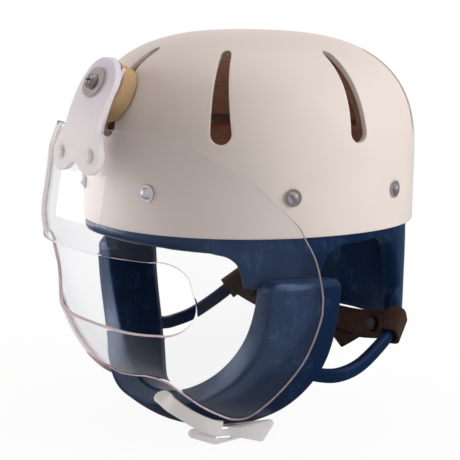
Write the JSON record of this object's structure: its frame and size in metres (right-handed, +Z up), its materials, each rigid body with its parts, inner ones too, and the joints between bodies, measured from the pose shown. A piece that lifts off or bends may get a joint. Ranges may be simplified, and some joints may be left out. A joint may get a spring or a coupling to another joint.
{
  "type": "protective helmet with clear face guard",
  "caption": "Hard-shell protective helmet with tapered vent slots, navy padded skirt and chin guard, and a clear wrap-around face shield on a height-adjustable front bracket.",
  "frame": {"origin": "centre of the hard shell's lower rim, the mount named head", "axes": "+Z up through the crown, the face looks along -Y, the wearer's left is +X"},
  "size_m": [0.242, 0.2785, 0.2893],
  "materials": {
    "shell_white": "satin moulded plastic",
    "navy_vinyl": "glossy dipped vinyl over foam",
    "brown_lining": "soft brown lining over foam",
    "clear_sheet": "clear formed plastic sheet",
    "milky_plastic": "milky translucent plastic",
    "tan_foam": "closed-cell tan foam",
    "brown_webbing": "woven webbing",
    "dark_snap": "dark moulded snap cap",
    "white_strap": "white soft plastic",
    "bright_steel": "plain bright metal"
  },
  "bodies": {
    "helmet": {"outer_shell": "shell_white", "skirt_liner": "navy_vinyl", "headband_pad": "brown_lining", "crown_pad": "brown_lining", "chin_guard": "navy_vinyl", "ear_loop_left": "navy_vinyl", "ear_loop_right": "navy_vinyl", "shell_rivet_1": "bright_steel", "shell_rivet_2": "bright_steel", "shell_rivet_3": "bright_steel", "shell_rivet_4": "bright_steel", "shell_rivet_5": "bright_steel", "shell_rivet_6": "bright_steel", "shell_rivet_7": "bright_steel", "shell_rivet_8": "bright_steel", "rivet_ring_1": "bright_steel", "rivet_ring_2": "bright_steel", "rivet_ring_3": "bright_steel", "rivet_ring_4": "bright_steel", "rivet_ring_5": "bright_steel", "rivet_ring_6": "bright_steel", "rivet_ring_7": "bright_steel", "rivet_ring_8": "bright_steel", "nape_strap": "brown_webbing", "snap_cap_left": "dark_snap", "snap_cap_right": "dark_snap", "strap_keeper": "white_strap"},
    "face_guard": {"face_shield": "clear_sheet", "guard_bracket": "milky_plastic", "spacer_block": "tan_foam", "guard_screw": "bright_steel", "screw_washer": "bright_steel", "inner_washer": "bright_steel", "lock_nut": "bright_steel", "bracket_rivet_left": "milky_plastic", "bracket_rivet_right": "milky_plastic", "rivet_backing_left": "bright_steel", "rivet_backing_right": "bright_steel"},
    "chin_tongue": {"chin_strap": "white_strap"}
  },
  "joints": [
    {"name": "guard_height", "type": "hinge", "parent": "helmet", "child": "face_guard", "pos_m": [0, -0.05394, 0.06137], "axis": [-1, 0, 0], "range_deg": [0, 15]},
    {"name": "chin_strap_lift", "type": "hinge", "parent": "helmet", "child": "chin_tongue", "pos_m": [0.0562, -0.063, -0.1416], "axis": [0, 0, 1], "range_deg": [0, 30]}
  ]
}
